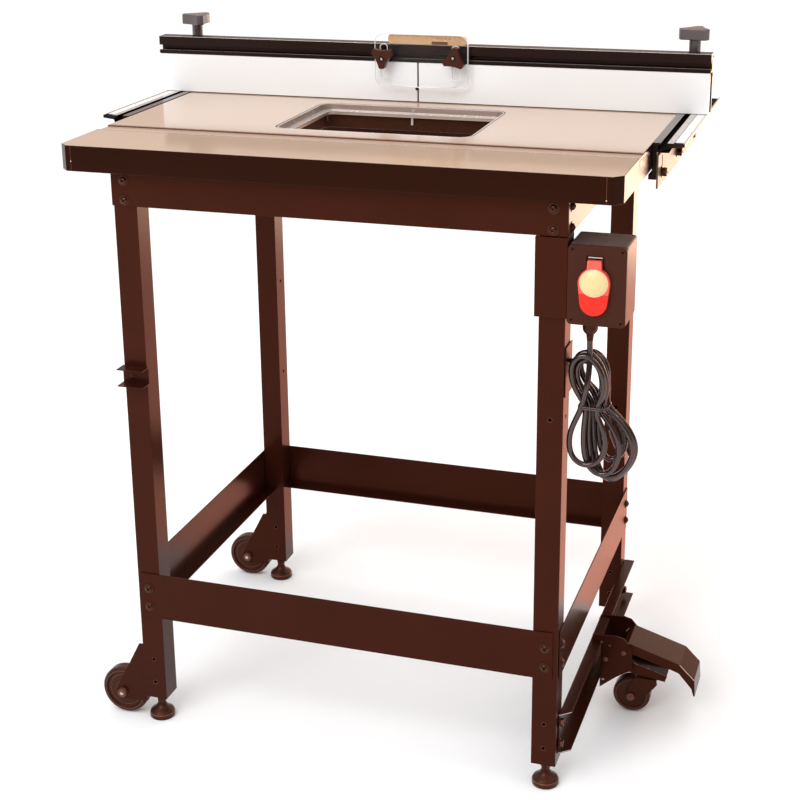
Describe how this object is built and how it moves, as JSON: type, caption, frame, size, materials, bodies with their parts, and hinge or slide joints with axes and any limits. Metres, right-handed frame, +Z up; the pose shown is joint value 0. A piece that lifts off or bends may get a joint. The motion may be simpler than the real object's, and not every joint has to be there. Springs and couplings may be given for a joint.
{
  "type": "router table",
  "caption": "Free-standing router table with a split fence, safety switch, levelling feet and a pedal-operated mobile base.",
  "frame": {"origin": "on the floor, under the middle of the object's box", "axes": "+X to the operator's right along the fence, +Y from the operator towards the fence, +Z up"},
  "size_m": [0.9605, 0.613, 1.0575],
  "materials": {
    "laminate": "satin laminate over board",
    "white_board": "white melamine board",
    "aluminium": "satin",
    "black_aluminium": "black anodised",
    "powder_coat": "satin powder coat",
    "black_plastic": "moulded, fine texture",
    "clear_plastic": "clear polycarbonate",
    "red_plastic": "moulded",
    "green_plastic": "moulded",
    "cord_rubber": "cord jacket",
    "tyre": "moulded rubber",
    "steel": "zinc plated"
  },
  "bodies": {
    "stand": {"table_top": "laminate", "mitre_track": "aluminium", "insert_ring": "aluminium", "rail_plate_left": "aluminium", "rail_plate_right": "aluminium", "leg_front_left": "powder_coat", "leg_rear_left": "powder_coat", "leg_front_right": "powder_coat", "leg_rear_right": "powder_coat", "upper_rail_front": "powder_coat", "upper_rail_rear": "powder_coat", "upper_rail_left": "powder_coat", "upper_rail_right": "powder_coat", "lower_rail_front": "powder_coat", "lower_rail_rear": "powder_coat", "lower_rail_left": "powder_coat", "lower_rail_right": "powder_coat", "leg_sleeve": "powder_coat", "tool_holder": "powder_coat", "cord_hook": "powder_coat", "wheel_bracket_front": "powder_coat", "wheel_bracket_rear": "powder_coat", "cross_channel": "powder_coat", "pedal_bracket": "powder_coat", "side_rail_left": "black_aluminium", "side_rail_right": "black_aluminium", "switch_box": "black_plastic", "switch_cover": "black_plastic", "switch_block": "black_plastic", "cable_gland": "black_plastic", "cord_plug": "black_plastic", "cord_tube": "cord_rubber", "cord_hank": "cord_rubber", "wheel_axle_front": "steel", "wheel_axle_rear": "steel"},
    "fence": {"fence_beam": "black_aluminium", "fence_bracket_left": "black_aluminium", "fence_bracket_right": "black_aluminium"},
    "face_left": {"fence_face_left": "white_board"},
    "face_right": {"fence_face_right": "white_board"},
    "clamp_knob_left": {"clamp_knob_left": "black_plastic"},
    "clamp_knob_right": {"clamp_knob_right": "black_plastic"},
    "guard": {"guard": "clear_plastic"},
    "guard_knob_left": {"guard_knob_left": "black_plastic"},
    "guard_knob_right": {"guard_knob_right": "black_plastic"},
    "switch_flap": {"switch_flap": "red_plastic"},
    "start_button": {"start_button": "green_plastic"},
    "stop_button": {"stop_button": "red_plastic"},
    "pedal": {"pedal": "powder_coat"},
    "caster_arm": {"caster_arm": "powder_coat", "caster_pin": "steel"},
    "caster_fork": {"caster_fork": "steel", "caster_axle": "steel"},
    "caster_wheel": {"caster_wheel": "tyre"},
    "wheel_front": {"wheel_front": "tyre"},
    "wheel_rear": {"wheel_rear": "tyre"},
    "foot_front_left": {"foot_front_left": "black_plastic"},
    "foot_rear_left": {"foot_rear_left": "black_plastic"},
    "foot_front_right": {"foot_front_right": "black_plastic"},
    "foot_rear_right": {"foot_rear_right": "black_plastic"}
  },
  "joints": [
    {"name": "fence_slide", "type": "slide", "parent": "stand", "child": "fence", "axis": [0, 1, 0], "range_m": [-0.18, 0.06]},
    {"name": "face_left_slide", "type": "slide", "parent": "fence", "child": "face_left", "axis": [-1, 0, 0], "range_m": [0, 0.04]},
    {"name": "face_right_slide", "type": "slide", "parent": "fence", "child": "face_right", "axis": [1, 0, 0], "range_m": [0, 0.04]},
    {"name": "clamp_knob_left_turn", "type": "hinge", "parent": "fence", "child": "clamp_knob_left", "pos_m": [-0.4427, 0.218, 1.045], "axis": [0, 0, 1], "range_deg": [-180, 180]},
    {"name": "clamp_knob_right_turn", "type": "hinge", "parent": "fence", "child": "clamp_knob_right", "pos_m": [0.4023, 0.191, 1.05], "axis": [0, 0, 1], "range_deg": [-180, 180]},
    {"name": "guard_slide", "type": "slide", "parent": "fence", "child": "guard", "axis": [0, 0, 1], "range_m": [-0.014, 0.02]},
    {"name": "guard_knob_left_turn", "type": "hinge", "parent": "fence", "child": "guard_knob_left", "pos_m": [-0.0802, 0.1282, 1.006], "axis": [0, 1, 0], "range_deg": [-180, 180]},
    {"name": "guard_knob_right_turn", "type": "hinge", "parent": "fence", "child": "guard_knob_right", "pos_m": [0.0383, 0.1282, 1.006], "axis": [0, 1, 0], "range_deg": [-180, 180]},
    {"name": "switch_flap_hinge", "type": "hinge", "parent": "stand", "child": "switch_flap", "pos_m": [0.351, -0.2945, 0.8133], "axis": [-1, 0, 0], "range_deg": [0, 100]},
    {"name": "start_button_press", "type": "slide", "parent": "stand", "child": "start_button", "axis": [0, 1, 0], "range_m": [0, 0.003], "stiffness_N_per_m": 300},
    {"name": "stop_button_press", "type": "slide", "parent": "stand", "child": "stop_button", "axis": [0, 1, 0], "range_m": [0, 0.003], "stiffness_N_per_m": 300},
    {"name": "pedal_hinge", "type": "hinge", "parent": "stand", "child": "pedal", "pos_m": [0.3658, -0.0083, 0.107], "axis": [0, 1, 0], "range_deg": [0, 13]},
    {"name": "caster_arm_hinge", "type": "hinge", "parent": "stand", "child": "caster_arm", "pos_m": [0.3378, -0.0083, 0.092], "axis": [0, 1, 0], "range_deg": [0, 12]},
    {"name": "caster_swivel", "type": "hinge", "parent": "caster_arm", "child": "caster_fork", "pos_m": [0.4018, -0.0233, 0.064], "axis": [0, 0, 1], "continuous": true},
    {"name": "caster_wheel_spin", "type": "hinge", "parent": "caster_fork", "child": "caster_wheel", "pos_m": [0.3793, -0.0233, 0.03], "axis": [0, 1, 0], "continuous": true},
    {"name": "wheel_front_spin", "type": "hinge", "parent": "stand", "child": "wheel_front", "pos_m": [-0.3939, -0.26705, 0.0396], "axis": [0, 1, 0], "continuous": true},
    {"name": "wheel_rear_spin", "type": "hinge", "parent": "stand", "child": "wheel_rear", "pos_m": [-0.3939, 0.24265, 0.0396], "axis": [0, 1, 0], "continuous": true},
    {"name": "foot_front_left_screw", "type": "slide", "parent": "stand", "child": "foot_front_left", "axis": [0, 0, 1], "range_m": [-0.015, 0]},
    {"name": "foot_rear_left_screw", "type": "slide", "parent": "stand", "child": "foot_rear_left", "axis": [0, 0, 1], "range_m": [-0.015, 0]},
    {"name": "foot_front_right_screw", "type": "slide", "parent": "stand", "child": "foot_front_right", "axis": [0, 0, 1], "range_m": [-0.015, 0]},
    {"name": "foot_rear_right_screw", "type": "slide", "parent": "stand", "child": "foot_rear_right", "axis": [0, 0, 1], "range_m": [-0.015, 0]}
  ],
  "couplings": [
    {"joint": "caster_arm_hinge", "follows": "pedal_hinge", "ratio": 0.92308}
  ]
}
